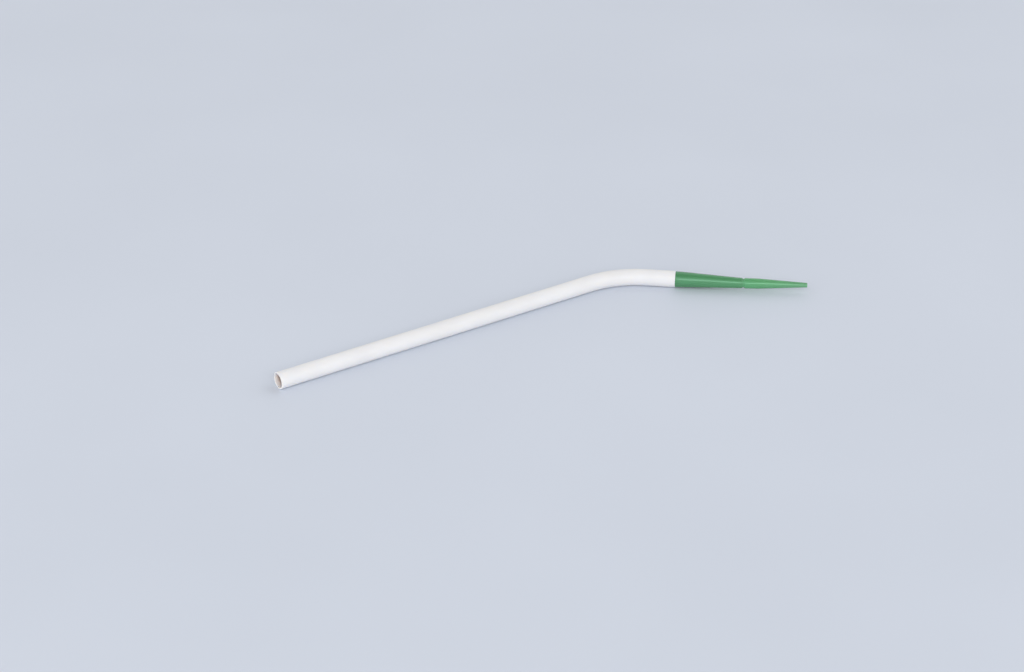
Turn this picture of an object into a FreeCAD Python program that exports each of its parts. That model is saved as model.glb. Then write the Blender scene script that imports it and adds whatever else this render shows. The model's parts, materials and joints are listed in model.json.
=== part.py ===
import FreeCAD, Part
import math
import os

from FreeCAD import Vector

# Suction tip for root-canal work: a white bent tube with a green moulded cannula plugged into its mouth.
# Lengths are in millimetres and angles in degrees.
# +X runs along the straight tube from its open hose end, the bend turns towards -Y, and +Z is up.
# The part lies on its side on z = 0, and the origin is on that plane under the middle of the whole part.

# Tube: one extrusion, cut square at both ends and bent once
tube_diameter = 6.5
tube_wall = 0.45
straight_length = 138.0
bend_radius = 33.7
bend_angle = 39.6
mouth_length = 11.5

# Cannula, outside, from the shoulder that stops against the tube's mouth to the blunt end
shoulder_step = 0.15
land_length = 2.2
base_cone_length = 24.0
score_width = 1.2
score_depth = 0.28
score_root_width = 0.4
waist_diameter = 4.04
waist_length = 5.0
end_cone_length = 19.4
end_diameter = 1.8
land_blend_radius = 12.0
score_lip_round = 0.1
waist_blend_radius = 40.0
end_round = 0.12

# The thin neck in the score has taken a slight set, so the fine end leans back towards the tube's line
score_lean = 3.2

# Cannula, plug hidden in the tube
plug_length = 10.0
plug_clearance = 0.02
plug_wall = 0.6
lead_length = 1.2
lead_depth = 0.3

# Cannula, suction bore, narrowing from the plug to the orifice
throat_diameter = 2.6
throat_margin = 0.9
orifice_diameter = 1.1
orifice_length = 1.5

# What follows from the sizes above
tube_radius = tube_diameter / 2
bore_radius = tube_radius - tube_wall
axis_height = tube_radius
plug_radius = bore_radius - plug_clearance
plug_bore_radius = plug_radius - plug_wall
land_radius = tube_radius - shoulder_step
waist_radius = waist_diameter / 2
score_root_radius = waist_radius - score_depth
end_radius = end_diameter / 2
throat_radius = throat_diameter / 2
orifice_radius = orifice_diameter / 2

# Stations along the cannula, from its shoulder
score_start = land_length + base_cone_length
score_middle = score_start + score_width / 2
score_end = score_start + score_width
waist_end = score_end + waist_length
cannula_end = waist_end + end_cone_length

ALONG = Vector(1, 0, 0)
UP = Vector(0, 0, 1)


def heading(turned):
    """Direction in the plane of the bend after turning right by an angle."""
    angle = math.radians(turned)
    return Vector(math.cos(angle), -math.sin(angle), 0)


def ring_face(outer, inner, centre, direction):
    """Flat ring square to a direction."""
    rim = Part.Wire(Part.makeCircle(outer, centre, direction))
    hole = Part.Wire(Part.makeCircle(inner, centre, direction))
    return Part.makeFace([rim, hole], "Part::FaceMakerBullseye")


def rounded_corner(before, corner, after, radius):
    """Arc that rounds a corner of an outline, touching both of its sides."""
    back = (before - corner).normalize()
    on = (after - corner).normalize()
    half_angle = back.getAngle(on) / 2
    reach = radius / math.tan(half_angle)
    centre = corner + (back + on).normalize() * (radius / math.sin(half_angle))
    middle = centre + (corner - centre).normalize() * radius
    return Part.Arc(corner + back * reach, middle, corner + on * reach)


def turned_solid(corners):
    """Solid turned about the X axis from corners of (station, radius, rounding)."""
    points = [Vector(station, radius, 0) for station, radius, rounding in corners]
    arcs = {}
    for i, (station, radius, rounding) in enumerate(corners):
        if rounding:
            arcs[i] = rounded_corner(points[i - 1], points[i], points[i + 1], rounding)
    edges = []
    for i, point in enumerate(points):
        start = arcs[i - 1].EndPoint if i - 1 in arcs else points[i - 1]
        finish = arcs[i].StartPoint if i in arcs else point
        edges.append(Part.makeLine(start, finish))
        if i in arcs:
            edges.append(arcs[i].toShape())
    return Part.Face(Part.Wire(edges)).revolve(Vector(0, 0, 0), ALONG, 360)


def make_tube():
    """Tube in three runs: the straight, the bend about an upright axis, and the short mouth."""
    section = ring_face(tube_radius, bore_radius, Vector(0, 0, 0), ALONG)
    straight = section.extrude(ALONG * straight_length)
    bend_start = ring_face(tube_radius, bore_radius, ALONG * straight_length, ALONG)
    bend_centre = Vector(straight_length, -bend_radius, 0)
    bend = bend_start.revolve(bend_centre, UP, -bend_angle)
    mouth_start = ring_face(tube_radius, bore_radius, bend_end(), heading(bend_angle))
    mouth = mouth_start.extrude(heading(bend_angle) * mouth_length)
    return straight.fuse([bend, mouth])


def bend_end():
    """Where the tube's centreline leaves the bend."""
    angle = math.radians(bend_angle)
    return Vector(straight_length + bend_radius * math.sin(angle), bend_radius * (math.cos(angle) - 1), 0)


def make_base_half():
    """Plug, shoulder, land and base cone, as far as the middle of the score."""
    past = score_middle + throat_margin
    return turned_solid(
        [
            (-plug_length, plug_bore_radius, 0),
            (-plug_length, plug_radius - lead_depth, 0),
            (-plug_length + lead_length, plug_radius, 0),
            (0, plug_radius, 0),
            (0, land_radius, 0),
            (land_length, land_radius, land_blend_radius),
            (score_start, waist_radius, score_lip_round),
            (score_middle - score_root_width / 2, score_root_radius, 0),
            (past, score_root_radius, 0),
            (past, throat_radius, 0),
            (score_start - throat_margin, throat_radius, 0),
            (0, plug_bore_radius, 0),
        ]
    )


def make_fine_half():
    """Waist and fine cone, from the middle of the score to the blunt end with its orifice."""
    before = score_middle - throat_margin
    return turned_solid(
        [
            (before, throat_radius, 0),
            (before, score_root_radius, 0),
            (score_middle + score_root_width / 2, score_root_radius, 0),
            (score_end, waist_radius, score_lip_round),
            (waist_end, waist_radius, waist_blend_radius),
            (cannula_end, end_radius, end_round),
            (cannula_end, orifice_radius, 0),
            (cannula_end - orifice_length, orifice_radius, 0),
            (waist_end, throat_radius, 0),
        ]
    )


def kept_side(solid, direction):
    """What lies on one side of an upright plane through the middle of the score."""
    reach = plug_length + cannula_end
    block = Part.makeBox(reach, reach, reach, Vector(0, -reach / 2, -reach / 2))
    block.Placement = FreeCAD.Placement(ALONG * score_middle, FreeCAD.Rotation(ALONG, direction))
    return solid.common(block)


def make_cannula():
    """Two turned halves, mitred where the fine end leans at the score."""
    base = kept_side(make_base_half(), heading(-score_lean / 2) * -1)
    fine = make_fine_half()
    fine.rotate(ALONG * score_middle, UP, score_lean)
    fine = kept_side(fine, heading(-score_lean / 2))
    cannula = base.fuse(fine)
    cannula.rotate(Vector(0, 0, 0), UP, -bend_angle)
    cannula.translate(bend_end() + heading(bend_angle) * mouth_length)
    return cannula


def main():
    nodes = {"aspirator_tube": make_tube(), "cannula_tip": make_cannula()}
    box = Part.makeCompound(list(nodes.values())).optimalBoundingBox(False, False)
    onto_table = Vector(-box.Center.x, -box.Center.y, axis_height)
    os.makedirs("parts", exist_ok=True)
    for name, shape in nodes.items():
        shape.translate(onto_table)
        shape.exportStep("parts/" + name + ".step")
        print(name, shape.ShapeType, len(shape.Solids), "solid,", shape.isValid(), round(shape.Volume, 2), "mm3")
    print("hose end centre", onto_table)
    print("whole box", [round(v, 3) for v in (box.XLength, box.YLength, box.ZLength)])


main()
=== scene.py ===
# %% [markdown]
# A dental suction tip in two pieces.
# The real object is a white plastic tube, bent once near its front, with a slim green moulded
# cannula pushed into the tube's mouth. It lies on its side on a pale table, and the camera looks
# down on it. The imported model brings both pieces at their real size, as coarse meshes. We keep its
# sizes and its place, and model each piece again with rounder walls, eased edges and a finish of
# its own.

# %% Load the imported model
import bmesh
import bpy
import json
import math
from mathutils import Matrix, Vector


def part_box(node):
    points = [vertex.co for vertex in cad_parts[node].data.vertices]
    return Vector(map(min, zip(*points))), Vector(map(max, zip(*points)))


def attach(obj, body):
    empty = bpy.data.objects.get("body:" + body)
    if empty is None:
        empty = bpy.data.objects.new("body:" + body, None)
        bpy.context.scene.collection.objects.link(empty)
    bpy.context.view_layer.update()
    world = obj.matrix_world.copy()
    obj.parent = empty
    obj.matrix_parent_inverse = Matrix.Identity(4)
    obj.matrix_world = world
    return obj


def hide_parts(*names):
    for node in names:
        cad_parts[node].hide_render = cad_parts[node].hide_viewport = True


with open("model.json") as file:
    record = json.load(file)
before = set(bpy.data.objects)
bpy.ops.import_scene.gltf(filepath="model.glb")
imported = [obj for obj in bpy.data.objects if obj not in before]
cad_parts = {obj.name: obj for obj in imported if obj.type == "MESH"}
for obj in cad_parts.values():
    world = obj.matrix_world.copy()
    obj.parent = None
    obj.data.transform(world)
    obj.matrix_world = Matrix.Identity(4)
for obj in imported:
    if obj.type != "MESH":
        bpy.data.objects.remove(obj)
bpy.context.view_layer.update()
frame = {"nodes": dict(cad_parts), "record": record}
mm = 0.001
print("nodes:", sorted(frame["nodes"]))

# %% [markdown]
# Read the driving sizes.
# The record states the hose end as a round mount, with its place, radius and straight length, and
# the bore inside it. The bend is named here in millimetres and degrees, as a drawing would give it.

# %% Sizes of the tube
mounts = {mount["name"]: mount for mount in frame["record"]["mounts"]}
hose_end = Vector(mounts["hose_end"]["pos_m"])
tube_radius = mounts["hose_end"]["dims"]["r_mm"] * mm
straight_length = mounts["hose_end"]["dims"]["length_mm"] * mm
bore_radius = mounts["suction_bore"]["dims"]["r_mm"] * mm
bend_radius = 33.7 * mm
bend_angle = math.radians(39.6)
mouth_length = 11.5 * mm

bend_start = hose_end + Vector((straight_length, 0, 0))
bend_centre = bend_start + Vector((0, -bend_radius, 0))
mouth_heading = Vector((math.cos(bend_angle), -math.sin(bend_angle), 0))
bend_end = bend_centre + bend_radius * Vector((math.sin(bend_angle), math.cos(bend_angle), 0))
mouth = bend_end + mouth_length * mouth_heading
print("tube radius", round(tube_radius / mm, 2), "mm, mouth at", [round(v / mm, 2) for v in mouth])

# %% [markdown]
# Small helpers for modelling by hand.
# Every operator works on what is selected. So we always start from nothing selected, and we choose
# points and edges by their place, as a person would click them.


# %% Helpers for selecting and shaping
def select_nothing():
    """Leave edit mode and deselect every object."""
    if bpy.context.object and bpy.context.object.mode != "OBJECT":
        bpy.ops.object.mode_set(mode="OBJECT")
    bpy.ops.object.select_all(action="DESELECT")


def pick(piece, kind, passes):
    """In edit mode, select only the points or edges whose ends all pass a test, and count them."""
    bpy.ops.mesh.select_mode(type=kind)
    bpy.ops.mesh.select_all(action="DESELECT")
    mesh = bmesh.from_edit_mesh(piece.data)
    items = mesh.verts if kind == "VERT" else mesh.edges
    chosen = 0
    for item in items:
        ends = [item] if kind == "VERT" else item.verts
        if all(passes(end.co) for end in ends):
            item.select_set(True)
            chosen += 1
    mesh.select_flush_mode()
    bmesh.update_edit_mesh(piece.data)
    return chosen


def apply_modifier(piece, kind, **settings):
    """Add a modifier with its settings and make it part of the mesh."""
    modifier = piece.modifiers.new(kind.title(), kind)
    for name, value in settings.items():
        setattr(modifier, name, value)
    bpy.context.view_layer.objects.active = piece
    bpy.ops.object.modifier_apply(modifier=modifier.name)


def finish_piece(piece, name, smooth_angle):
    """Name the piece, put its place into its mesh and shade it smooth up to an angle."""
    if piece.mode != "OBJECT":
        bpy.ops.object.mode_set(mode="OBJECT")
    select_nothing()
    piece.select_set(True)
    bpy.context.view_layer.objects.active = piece
    bpy.ops.object.transform_apply(location=True, rotation=True, scale=True)
    bpy.ops.object.shade_smooth_by_angle(angle=smooth_angle)
    piece.name = name
    piece.data.name = name
    low = [min(v.co[k] for v in piece.data.vertices) for k in range(3)]
    high = [max(v.co[k] for v in piece.data.vertices) for k in range(3)]
    print(name, len(piece.data.polygons), "faces, from", [round(v / mm, 2) for v in low],
          "to", [round(v / mm, 2) for v in high], "mm")


# %% [markdown]
# The tube starts as a circle at the hose end.
# The real one is extruded, cut to length, warmed and bent. We make it the same way: the circle is
# extruded along the straight, spun round the bend and extruded again to the mouth. A curve with a
# bevel would be quicker, but here each ring stays where the section really is, and the bend is a
# true arc. Points in one place are merged before the normals are made to agree, in case a step left
# a ring twice.

# %% Extrude and spin the tube's outside
tube_sides = 96
straight_steps = 24
bend_steps = 28
mouth_steps = 3
weld_distance = 0.001 * mm

select_nothing()
bpy.ops.mesh.primitive_circle_add(
    vertices=tube_sides, radius=tube_radius, fill_type="NOTHING",
    location=hose_end, rotation=(0, math.pi / 2, 0))
tube = bpy.context.object
bpy.ops.object.transform_apply(location=True, rotation=True, scale=True)
bpy.ops.object.mode_set(mode="EDIT")
bpy.ops.mesh.select_mode(type="EDGE")
bpy.ops.mesh.select_all(action="SELECT")
for step in range(straight_steps):
    along = Vector((straight_length / straight_steps, 0, 0))
    bpy.ops.mesh.extrude_region_move(TRANSFORM_OT_translate={"value": along})
bpy.ops.mesh.spin(steps=bend_steps, angle=bend_angle, center=bend_centre, axis=(0, 0, 1))
for step in range(mouth_steps):
    along = mouth_heading * (mouth_length / mouth_steps)
    bpy.ops.mesh.extrude_region_move(TRANSFORM_OT_translate={"value": along})
bpy.ops.mesh.select_all(action="SELECT")
bpy.ops.mesh.remove_doubles(threshold=weld_distance)
bpy.ops.mesh.normals_make_consistent(inside=False)
bpy.ops.object.mode_set(mode="OBJECT")
print("rings of points:", len(tube.data.vertices) // tube_sides)

# %% [markdown]
# Know where a point is in the tube.
# To find a cut end, the bore or a rim, we need to know how far along the tube a point lies and how
# far from its middle line. The middle line has three runs: the straight, the bend and the mouth.


# %% Helpers for a place in the tube
def place_in_tube(point):
    """Length along the tube's middle line to a point, and its own point and heading there."""
    if point.x <= bend_start.x:
        middle = Vector((point.x, hose_end.y, hose_end.z))
        return point.x - hose_end.x, middle, Vector((1, 0, 0))
    turned = math.atan2(point.x - bend_centre.x, point.y - bend_centre.y)
    if turned <= bend_angle:
        heading = Vector((math.cos(turned), -math.sin(turned), 0))
        out = Vector((math.sin(turned), math.cos(turned), 0))
        return straight_length + bend_radius * turned, bend_centre + bend_radius * out, heading
    past = (point - bend_end).dot(mouth_heading)
    length = straight_length + bend_radius * bend_angle + past
    return length, bend_end + past * mouth_heading, mouth_heading


def radius_in_tube(point):
    """Distance of a point from the tube's middle line."""
    return (point - place_in_tube(point)[1]).length


print("the middle line is", round(place_in_tube(mouth)[0] / mm, 1), "mm long")

# %% [markdown]
# Give the tube its wall.
# Solidify with its offset at -1 grows the wall inwards, so the outside keeps its size. A cut end is
# never razor sharp: the blade leaves a tiny rounding on both its rims, and that thin line catches
# the light. So all four rims get a small bevel.

# %% Wall and eased rims of the tube
rims = 4
rim_round = 0.09 * mm
rim_segments = 4
rim_reach = 0.01 * mm


def on_cut_end(point):
    """Whether a point lies on the plane of one of the tube's two cut ends."""
    at_hose = abs(point.x - hose_end.x) < rim_reach
    at_mouth = abs((point - mouth).dot(mouth_heading)) < rim_reach and point.x > bend_start.x
    return at_hose or at_mouth


def around_rim(edge):
    """Whether an edge runs round the tube, and not across its wall."""
    first, last = (radius_in_tube(point.co) for point in edge.verts)
    return abs(first - last) < rim_reach


select_nothing()
apply_modifier(
    tube, "SOLIDIFY", thickness=tube_radius - bore_radius, offset=-1, use_even_offset=True)
bpy.ops.object.mode_set(mode="EDIT")
pick(tube, "EDGE", on_cut_end)
mesh = bmesh.from_edit_mesh(tube.data)
for edge in mesh.edges:
    if edge.select and not around_rim(edge):
        edge.select_set(False)
bmesh.update_edit_mesh(tube.data)
print("rim edges:", sum(edge.select for edge in mesh.edges), "of", rims * tube_sides)
bpy.ops.mesh.bevel(offset=rim_round, segments=rim_segments, affect="EDGES")
finish_piece(tube, "bent_tube", smooth_angle=math.radians(40))

# %% [markdown]
# The cannula is turned, ring by ring.
# The real one is moulded round a tapered core pin. From the back it has a plug that hides in the
# tube, a shoulder that stops against the tube's end, a short land, a long cone, a score where it
# can be cut, a straight waist and a fine cone down to a blunt end. It could be spun from an
# outline, but a chain of rings lets us ease each edge by itself afterwards. We model it straight,
# with its shoulder at the world's origin.

# %% Outline of the cannula
plug_length = 10.0 * mm
plug_gap = 0.02 * mm
plug_wall = 0.6 * mm
plug_radius = bore_radius - plug_gap
plug_bore_radius = plug_radius - plug_wall
lead_length = 1.2 * mm
lead_depth = 0.3 * mm
land_length = 2.2 * mm
land_step = 0.15 * mm
land_radius = tube_radius - land_step
base_cone_length = 24.0 * mm
score_width = 1.2 * mm
score_depth = 0.28 * mm
score_root_width = 0.4 * mm
waist_radius = 2.02 * mm
waist_length = 5.0 * mm
end_cone_length = 19.4 * mm
end_radius = 0.9 * mm
throat_radius = 1.3 * mm
throat_margin = 0.9 * mm
orifice_radius = 0.55 * mm
orifice_length = 1.5 * mm

score_start = land_length + base_cone_length
score_middle = score_start + score_width / 2
score_end = score_start + score_width
score_radius = waist_radius - score_depth
waist_end = score_end + waist_length
cannula_end = waist_end + end_cone_length

# Each ring as its station along the cannula and its radius: first the outside, then the bore back.
outline = [
    (-plug_length, plug_bore_radius),
    (-plug_length, plug_radius - lead_depth),
    (-plug_length + lead_length, plug_radius),
    (0, plug_radius),
    (0, land_radius),
    (land_length, land_radius),
    (score_start, waist_radius),
    (score_middle - score_root_width / 2, score_radius),
    (score_middle + score_root_width / 2, score_radius),
    (score_end, waist_radius),
    (waist_end, waist_radius),
    (cannula_end, end_radius),
    (cannula_end, orifice_radius),
    (cannula_end - orifice_length, orifice_radius),
    (waist_end, throat_radius),
    (score_start - throat_margin, throat_radius),
    (0, plug_bore_radius),
    (-plug_length, plug_bore_radius),
]
print("cannula shows", round(cannula_end / mm, 1), "mm and hides", round(plug_length / mm, 1), "mm")

# %% Extrude and scale the rings
cannula_sides = 80

select_nothing()
bpy.ops.mesh.primitive_circle_add(
    vertices=cannula_sides, radius=outline[0][1], fill_type="NOTHING",
    location=(outline[0][0], 0, 0), rotation=(0, math.pi / 2, 0))
cannula = bpy.context.object
bpy.ops.object.transform_apply(location=True, rotation=True, scale=True)
bpy.ops.object.mode_set(mode="EDIT")
bpy.ops.mesh.select_mode(type="EDGE")
bpy.ops.mesh.select_all(action="SELECT")
for (station, radius), (next_station, next_radius) in zip(outline, outline[1:]):
    along = Vector((next_station - station, 0, 0))
    grow = next_radius / radius
    bpy.ops.mesh.extrude_region_move(TRANSFORM_OT_translate={"value": along})
    bpy.ops.transform.resize(value=(1, grow, grow), center_override=(next_station, 0, 0))
bpy.ops.mesh.select_all(action="SELECT")
bpy.ops.mesh.remove_doubles(threshold=weld_distance)
bpy.ops.mesh.normals_make_consistent(inside=False)
print("rings of points:", len(bmesh.from_edit_mesh(cannula.data).verts) // cannula_sides)

# %% [markdown]
# Ease the rings.
# A mould cutter leaves no knife edges, and plastic draws a soft line where a cone meets a cylinder.
# Each ring gets a bevel as wide as the rounding of the real one: long and soft at the land and the
# waist, tight at the score's lips, and small at the blunt end, which must not scratch.

# %% Bevel each ring by its own reach
ring_reach = 0.005 * mm

# Each ring as its station, its radius, the width of its bevel and the bevel's segments.
eased_rings = [
    (0, land_radius, 0.06 * mm, 3),
    (land_length, land_radius, 0.5 * mm, 4),
    (score_start, waist_radius, 0.1 * mm, 3),
    (score_middle - score_root_width / 2, score_radius, 0.08 * mm, 2),
    (score_middle + score_root_width / 2, score_radius, 0.08 * mm, 2),
    (score_end, waist_radius, 0.1 * mm, 3),
    (waist_end, waist_radius, 1.4 * mm, 6),
    (cannula_end, end_radius, 0.12 * mm, 4),
    (cannula_end, orifice_radius, 0.05 * mm, 2),
    (-plug_length + lead_length, plug_radius, 0.15 * mm, 2),
    (-plug_length, plug_radius - lead_depth, 0.08 * mm, 2),
]


def pick_ring(station, radius):
    """Select the edges of the cannula's ring at a station and a radius, and count them."""
    def on_ring(point):
        around = math.hypot(point.y, point.z)
        return abs(point.x - station) < ring_reach and abs(around - radius) < ring_reach
    return pick(cannula, "EDGE", on_ring)


for station, radius, width, segments in eased_rings:
    count = pick_ring(station, radius)
    bpy.ops.mesh.bevel(offset=width, segments=segments, affect="EDGES")
    print("eased", count, "edges at", round(station / mm, 2), "mm")

# %% [markdown]
# Lean the fine end.
# In the photograph the fine end leans back by about three degrees at the score, where the wall is
# thinnest. The operator turns about a centre that we give it, since a script has no view to take a
# pivot from.

# %% Lean the fine end back
score_lean = math.radians(3.2)

pick(cannula, "VERT", lambda point: point.x > score_middle)
bpy.ops.transform.rotate(
    value=-score_lean, orient_axis="Z", center_override=(score_middle, 0, 0))
bpy.ops.object.mode_set(mode="OBJECT")
fine_end = max((v.co for v in cannula.data.vertices), key=lambda point: point.x)
print("the fine end moved sideways by", round(fine_end.y / mm, 2), "mm")

# %% [markdown]
# Remember where each point lay before bending, and set the cannula in the mouth.
# Extrusion lines run along the tube and round its bend, and the green is painted paler along the
# cannula. So each piece keeps an attribute with the place of every point as if the piece were
# straight: length first, then the two directions across it. The materials read it, and their
# patterns follow the surface. It is stored while the cannula still lies at the origin, and only then
# is the cannula turned and moved to the mouth.


# %% Store the unbent place of every point
def place_in_cannula(point):
    """Length along the cannula to a point, and its middle line's own point and heading there."""
    if point.x <= score_middle:
        return point.x, Vector((point.x, 0, 0)), Vector((1, 0, 0))
    heading = Vector((math.cos(score_lean), math.sin(score_lean), 0))
    past = (point - Vector((score_middle, 0, 0))).dot(heading)
    return score_middle + past, Vector((score_middle, 0, 0)) + past * heading, heading


def store_unbent(piece, place):
    """Write the attribute that the materials read as their coordinates."""
    up = Vector((0, 0, 1))
    unbent = piece.data.attributes.new("unbent", "FLOAT_VECTOR", "POINT")
    for vertex in piece.data.vertices:
        length, centre, heading = place(vertex.co)
        out = vertex.co - centre
        unbent.data[vertex.index].vector = (length, out.dot(up.cross(heading)), out.dot(up))


store_unbent(tube, place_in_tube)
store_unbent(cannula, place_in_cannula)
cannula.rotation_euler = (0, 0, -bend_angle)
cannula.location = mouth
finish_piece(cannula, "moulded_cannula", smooth_angle=math.radians(25))
for node, piece in (("aspirator_tube", tube), ("cannula_tip", cannula)):
    low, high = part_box(node)
    gaps = [min(v.co[k] for v in piece.data.vertices) - low[k] for k in range(3)]
    gaps += [max(v.co[k] for v in piece.data.vertices) - high[k] for k in range(3)]
    print(piece.name, "differs from its CAD box by", [round(gap / mm, 3) for gap in gaps], "mm")

# %% [markdown]
# Helpers for the finishes.
# Colours are written as the hex values that a screen shows, and one function turns them to the
# linear values that the renderer works in. One more adds a node, sets its values and colour stops,
# and links its inputs.


# %% Colour and node helpers
def linear(colour):
    """Linear RGBA from an sRGB hex colour such as 8FA3B0."""
    values = []
    for k in (0, 2, 4):
        share = int(colour[k:k + 2], 16) / 255
        values.append(share / 12.92 if share <= 0.04045 else ((share + 0.055) / 1.055) ** 2.4)
    return (*values, 1)


def add_node(tree, kind, values=None, links=None, stops=(), **settings):
    """Add a node, set its attributes, inputs and colour stops, and link its inputs from sockets."""
    node = tree.nodes.new(kind)
    for name, value in settings.items():
        setattr(node, name, value)
    for name, value in (values or {}).items():
        node.inputs[name].default_value = value
    for name, socket in (links or {}).items():
        tree.links.new(socket, node.inputs[name])
    # A new ramp has two stops, so only those past the second are added.
    for place, colour in stops[2:]:
        node.color_ramp.elements.new(place)
    for index, (place, colour) in enumerate(stops):
        node.color_ramp.elements[index].position = place
        node.color_ramp.elements[index].color = linear(colour)
    return node


def new_material(name):
    """Empty node material, with its tree and its output."""
    material = bpy.data.materials.new(name)
    material.use_nodes = True
    material.node_tree.nodes.clear()
    return material, material.node_tree, material.node_tree.nodes.new("ShaderNodeOutputMaterial")


# %% [markdown]
# Patterns that follow a piece.
# The tube was drawn through a die and the cannula's melt ran along its mould, so both carry lines
# that run lengthwise. Noise does this when the length is divided by a long distance and the two
# directions across by a short one. The lines also tint a colour by a trace.


# %% Pattern helpers
def lines_along(tree, place, length, spacing, detail):
    """Noise drawn out along a piece, from its unbent place."""
    squeeze = (1 / length, 1 / spacing, 1 / spacing)
    squeezed = add_node(
        tree, "ShaderNodeVectorMath", {1: squeeze}, {0: place}, operation="MULTIPLY")
    lines = add_node(
        tree, "ShaderNodeTexNoise", {"Scale": 1.0, "Detail": detail},
        {"Vector": squeezed.outputs["Vector"]})
    return lines.outputs["Fac"]


def streaked(tree, colour, lines):
    """A colour that the lines darken by a trace."""
    shade = add_node(
        tree, "ShaderNodeValToRGB", links={"Fac": lines},
        stops=[(0.3, "F7F7F7"), (0.7, "FFFFFF")]).outputs["Color"]
    # A Mix node has its sockets once for each type of data, all with the same names. So those for
    # colours are given by number: 6 and 7 go in, and 2 comes out.
    mixed = add_node(
        tree, "ShaderNodeMix", {"Factor": 1.0}, {6: colour, 7: shade},
        data_type="RGBA", blend_type="MULTIPLY")
    return mixed.outputs[2]


# %% [markdown]
# White extruded polyethylene.
# The tube is low-density polyethylene filled with white pigment. It leaves the die with a soft
# satin skin: faint lines along its length, a fine pebble from the melt, and a slight unevenness of
# the white. Its index is about 1.51, and a little light scatters under the skin, the red a touch
# further than the blue. The die lines would be some 0.1 mm apart and too fine to show, so they are
# drawn 0.5 mm apart.

# %% Tube finish
polyethylene_ior = 1.51
polyethylene_scatter = (1.0, 0.95, 0.85)


def extruded_polyethylene():
    """Satin white skin with lines along the tube."""
    line_length = 70 * mm
    line_spacing = 0.5 * mm
    line_height = 0.006 * mm
    pebble = 0.25 * mm
    pebble_height = 0.004 * mm
    cloud = 14 * mm
    scatter_depth = 0.3 * mm
    material, tree, output = new_material("white_extruded_polyethylene")
    place = add_node(tree, "ShaderNodeAttribute", attribute_name="unbent").outputs["Vector"]
    lines = lines_along(tree, place, line_length, line_spacing, detail=3.0)
    grain = add_node(
        tree, "ShaderNodeTexNoise", {"Scale": 1 / pebble, "Detail": 2.0},
        {"Vector": place}).outputs["Fac"]
    clouds = add_node(
        tree, "ShaderNodeTexNoise", {"Scale": 1 / cloud, "Detail": 2.0},
        {"Vector": place}).outputs["Fac"]
    colour = add_node(
        tree, "ShaderNodeValToRGB", links={"Fac": clouds},
        stops=[(0.3, "E9E8E8"), (0.7, "EDECEC")]).outputs["Color"]
    roughness = add_node(
        tree, "ShaderNodeMapRange", {"To Min": 0.48, "To Max": 0.62},
        {"Value": lines}).outputs["Result"]
    line_bump = add_node(
        tree, "ShaderNodeBump", {"Strength": 0.5, "Distance": line_height},
        {"Height": lines}).outputs["Normal"]
    bump = add_node(
        tree, "ShaderNodeBump", {"Strength": 0.5, "Distance": pebble_height},
        {"Height": grain, "Normal": line_bump}).outputs["Normal"]
    shader = add_node(
        tree, "ShaderNodeBsdfPrincipled",
        {"IOR": polyethylene_ior, "Subsurface Weight": 1.0,
         "Subsurface Radius": polyethylene_scatter, "Subsurface Scale": scatter_depth},
        {"Base Color": colour, "Roughness": roughness, "Normal": bump})
    tree.links.new(shader.outputs["BSDF"], output.inputs["Surface"])
    return material


# %% [markdown]
# The same wall from inside.
# The first millimetre behind the cut is nearly as pale as the outside, and the thin wall lets light
# through there. Deeper in, the colour is painted shade: it turns darker and browner with the
# distance from the cut, for the dim light, warmed by the wall, that reaches the bore. It has no
# sheen to speak of. Shadow alone would do this too softly, so the painted shade and the light under
# the skin both change with the distance from the cut. Behind 2.7 mm both stay as they are.


# %% Bore finish
def bore_polyethylene():
    """White of the tube's inner wall, pale at the cut, with painted shade that turns it darker and
    browner behind.
    """
    line_length = 40 * mm
    line_spacing = 0.6 * mm
    glow_depth = 0.8 * mm
    painted_shade_depth = 2.7 * mm
    scatter_depth = 0.8 * mm
    material, tree, output = new_material("bore_polyethylene_painted_shade")
    place = add_node(tree, "ShaderNodeAttribute", attribute_name="unbent").outputs["Vector"]
    lines = lines_along(tree, place, line_length, line_spacing, detail=2.0)
    length = add_node(tree, "ShaderNodeSeparateXYZ", links={"Vector": place}).outputs["X"]
    depth = add_node(
        tree, "ShaderNodeMapRange", {"From Max": painted_shade_depth}, {"Value": length}).outputs["Result"]
    # Painted shade: the colour turns darker and browner with the distance from the cut, for the dim,
    # warm light deep in the bore.
    painted_shade = add_node(
        tree, "ShaderNodeValToRGB", links={"Fac": depth},
        stops=[(0.0, "FDF5F2"), (0.4, "F6E9E4"), (1.0, "77635B")]).outputs["Color"]
    colour = streaked(tree, painted_shade, lines)
    roughness = add_node(
        tree, "ShaderNodeMapRange", {"To Min": 0.55, "To Max": 0.70},
        {"Value": lines}).outputs["Result"]
    glow = add_node(
        tree, "ShaderNodeMapRange",
        {"From Min": glow_depth, "From Max": painted_shade_depth, "To Min": 1.0, "To Max": 0.0},
        {"Value": length}).outputs["Result"]
    shader = add_node(
        tree, "ShaderNodeBsdfPrincipled",
        {"IOR": polyethylene_ior, "Subsurface Radius": polyethylene_scatter,
         "Subsurface Scale": scatter_depth},
        {"Base Color": colour, "Roughness": roughness, "Subsurface Weight": glow})
    tree.links.new(shader.outputs["BSDF"], output.inputs["Surface"])
    return material
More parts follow.
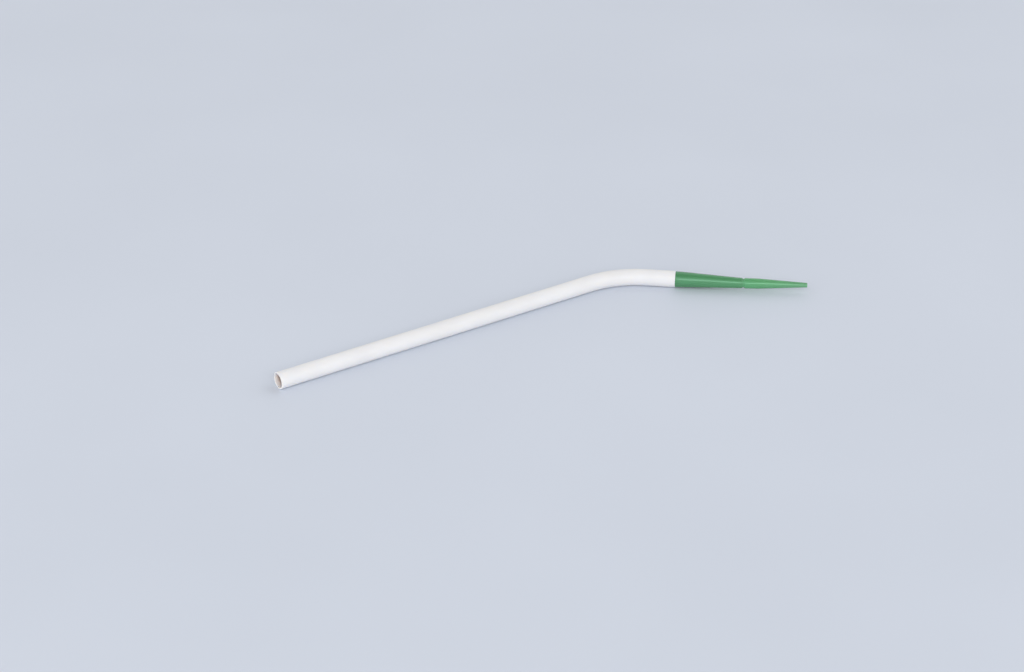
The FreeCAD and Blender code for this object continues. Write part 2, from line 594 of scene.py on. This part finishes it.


# %% [markdown]
# Green moulded polypropylene.
# The cannula is tinted polypropylene from a polished mould: glossy and a little translucent. Towards
# the fine end the wall is thinner and more light gets through, and this light is painted into the
# colour as a paler green. Polypropylene has an index of 1.49. The melt runs from the plug to the
# tip, so its faint flow marks are drawn out along the part.


# %% Cannula finish
def moulded_polypropylene():
    """Glossy green, painted paler along the cannula for the light through its thinner wall."""
    flow_length = 9 * mm
    flow_spacing = 0.8 * mm
    skin_grain = 0.3 * mm
    skin_height = 0.004 * mm
    scatter_depth = 1.0 * mm
    material, tree, output = new_material("green_moulded_polypropylene")
    place = add_node(tree, "ShaderNodeAttribute", attribute_name="unbent").outputs["Vector"]
    length = add_node(tree, "ShaderNodeSeparateXYZ", links={"Vector": place}).outputs["X"]
    share = add_node(
        tree, "ShaderNodeMapRange", {"From Min": 0.0, "From Max": cannula_end},
        {"Value": length}).outputs["Result"]
    # These stops paint the green paler towards the fine end, for the light that the thinner wall
    # lets through.
    stops = [
        (0.0, "528C60"),
        (score_start / cannula_end, "579465"),
        (score_end / cannula_end, "60A470"),
        (waist_end / cannula_end, "62A470"),
        (1.0, "6BA276"),
    ]
    green_with_painted_light = add_node(
        tree, "ShaderNodeValToRGB", links={"Fac": share}, stops=stops).outputs["Color"]
    flow = lines_along(tree, place, flow_length, flow_spacing, detail=2.0)
    grain = add_node(
        tree, "ShaderNodeTexNoise", {"Scale": 1 / skin_grain, "Detail": 2.0},
        {"Vector": place}).outputs["Fac"]
    colour = streaked(tree, green_with_painted_light, flow)
    roughness = add_node(
        tree, "ShaderNodeMapRange", {"To Min": 0.20, "To Max": 0.26},
        {"Value": flow}).outputs["Result"]
    bump = add_node(
        tree, "ShaderNodeBump", {"Strength": 0.4, "Distance": skin_height},
        {"Height": grain}).outputs["Normal"]
    shader = add_node(
        tree, "ShaderNodeBsdfPrincipled",
        {"IOR": 1.49, "Specular IOR Level": 0.9, "Specular Tint": (0.6, 1.0, 0.8, 1.0),
         "Subsurface Weight": 0.3, "Subsurface Radius": (0.5, 1.0, 0.6),
         "Subsurface Scale": scatter_depth},
        {"Base Color": colour, "Roughness": roughness, "Normal": bump})
    tree.links.new(shader.outputs["BSDF"], output.inputs["Surface"])
    return material


# %% [markdown]
# Give each surface its finish.
# The tube is one mesh with two finishes: its skin outside, and inside the bore's colour with its
# painted shade. The bore could be a mesh of its own, but then the wall would be open at both ends.
# So its faces are found by their distance from the tube's middle line.

# %% Finishes of the tube and the cannula
tube.data.materials.clear()
tube.data.materials.append(extruded_polyethylene())
tube.data.materials.append(bore_polyethylene())
bore_faces = 0
for face in tube.data.polygons:
    points = [tube.data.vertices[index].co for index in face.vertices]
    if all(radius_in_tube(point) < bore_radius + rim_reach for point in points):
        face.material_index = 1
        bore_faces += 1
cannula.data.materials.clear()
cannula.data.materials.append(moulded_polypropylene())
print("faces in the bore:", bore_faces, "of", len(tube.data.polygons))

# %% [markdown]
# Tie the pieces to the frame.
# Both pieces ride on the part's one body, and each stands for its own CAD node.

# %% Ride and replace
places_in_frame = [
    (tube, "aspirator_tube", "white_tube"),
    (cannula, "cannula_tip", "green_cannula"),
]
for piece, node, slot in places_in_frame:
    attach(piece, "root")
    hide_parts(node)
    print(piece.name, "stands for", node)

# %% [markdown]
# A pale table.
# The part lies on a smooth pale grey-blue laminate. One very large plane under it is enough. It
# reaches so far that even a low camera sees no edge of it behind the part.


# %% Table
def pale_laminate():
    """Matt table top with a faint unevenness."""
    cloud = 120 * mm
    material, tree, output = new_material("pale_laminate")
    place = add_node(tree, "ShaderNodeTexCoord").outputs["Object"]
    clouds = add_node(
        tree, "ShaderNodeTexNoise", {"Scale": 1 / cloud, "Detail": 2.0},
        {"Vector": place}).outputs["Fac"]
    colour = add_node(
        tree, "ShaderNodeValToRGB", links={"Fac": clouds},
        stops=[(0.3, "D3D9E4"), (0.7, "D6DCE7")]).outputs["Color"]
    shader = add_node(
        tree, "ShaderNodeBsdfPrincipled", {"Roughness": 0.5, "IOR": 1.5}, {"Base Color": colour})
    tree.links.new(shader.outputs["BSDF"], output.inputs["Surface"])
    return material


table_size = 20.0
select_nothing()
bpy.ops.mesh.primitive_plane_add(size=table_size, location=(0, 0, 0))
table = bpy.context.object
table.name = "pale_table"
table.data.materials.append(pale_laminate())
print("the table is", table_size, "m wide")

# %% [markdown]
# The camera looks down at thirty degrees.
# The tube runs away to the right at about 32 degrees across the view, and a long lens from 0.88 m
# keeps both ends of the part nearly the same size.

# %% Camera
view_down = math.radians(30.0)
view_turn = math.radians(32.5)
view_distance = 0.8818
view_target = Vector((-11.98, 8.62, 0)) * mm
flat_view = Vector((math.sin(view_turn), math.cos(view_turn), 0))
look = flat_view * math.cos(view_down) - Vector((0, 0, math.sin(view_down)))

camera_data = bpy.data.cameras.new("camera")
camera_data.lens = 81.4
camera_data.sensor_width = 36.0
camera_data.clip_start = 0.01
camera = bpy.data.objects.new("camera", camera_data)
bpy.context.scene.collection.objects.link(camera)
camera.location = view_target - look * view_distance
camera.rotation_euler = look.to_track_quat("-Z", "Y").to_euler()
bpy.context.scene.camera = camera
print("camera at", [round(v, 3) for v in camera.location])

# %% [markdown]
# Soft studio light.
# The part lies as in a light tent: white walls all round and no lamp straight above. So the tube is
# bright on all its sides and its shadow stays thin. One wide soft panel behind the camera draws the
# bright line along the glossy green. A weaker one on the right lifts the near side of the tube, and
# one on the left shines into the open hose end and on the part past the bend. They could stand
# close by, but from metres away they light the table evenly for a long way round the part. The
# walls are written in the world, as a strength that fades out towards the zenith. The view
# transform is Standard, so a colour shows as it is written.


# %% Tent walls and panels
def tent_world(strength, wall_top, ceiling_start):
    """White walls up to one height and a dark ceiling from another, both as sines of elevation."""
    world = bpy.data.worlds.new("light_tent")
    world.use_nodes = True
    tree = world.node_tree
    background = tree.nodes["Background"]
    direction = add_node(tree, "ShaderNodeTexCoord").outputs["Generated"]
    height = add_node(tree, "ShaderNodeSeparateXYZ", links={"Vector": direction}).outputs["Z"]
    level = add_node(
        tree, "ShaderNodeMapRange",
        {"From Min": wall_top, "From Max": ceiling_start, "To Min": strength, "To Max": 0.0},
        {"Value": height}, interpolation_type="SMOOTHSTEP").outputs["Result"]
    tree.links.new(level, background.inputs["Strength"])
    background.inputs["Color"].default_value = linear("FAFBFD")
    return world


def add_panel(name, size, power, height_angle, turn, distance):
    """Soft rectangular panel that faces the part, from a height angle and a turn about it."""
    data = bpy.data.lights.new(name, "AREA")
    data.shape = "RECTANGLE"
    data.size, data.size_y = size
    data.energy = power
    panel = bpy.data.objects.new(name, data)
    bpy.context.scene.collection.objects.link(panel)
    flat = Vector((math.sin(turn), math.cos(turn), 0)) * math.cos(height_angle)
    panel.location = (flat + Vector((0, 0, math.sin(height_angle)))) * distance
    panel.rotation_euler = (-panel.location).to_track_quat("-Z", "Y").to_euler()
    print(name, "at", [round(v, 2) for v in panel.location], "m with", power, "W")


bpy.context.scene.world = tent_world(strength=0.84, wall_top=0.84, ceiling_start=0.95)
camera_side = view_turn + math.pi
add_panel(
    "front_panel", size=(4.625, 1.65), power=75.0, height_angle=math.radians(31),
    turn=camera_side - math.radians(11), distance=5.0)
add_panel(
    "right_panel", size=(2.2, 2.2), power=6.0, height_angle=math.radians(30),
    turn=camera_side - math.radians(90), distance=2.0)
add_panel(
    "left_panel", size=(1.8, 1.8), power=8.2, height_angle=math.radians(28),
    turn=camera_side + math.radians(50), distance=2.0)
bpy.context.scene.view_settings.view_transform = "Standard"
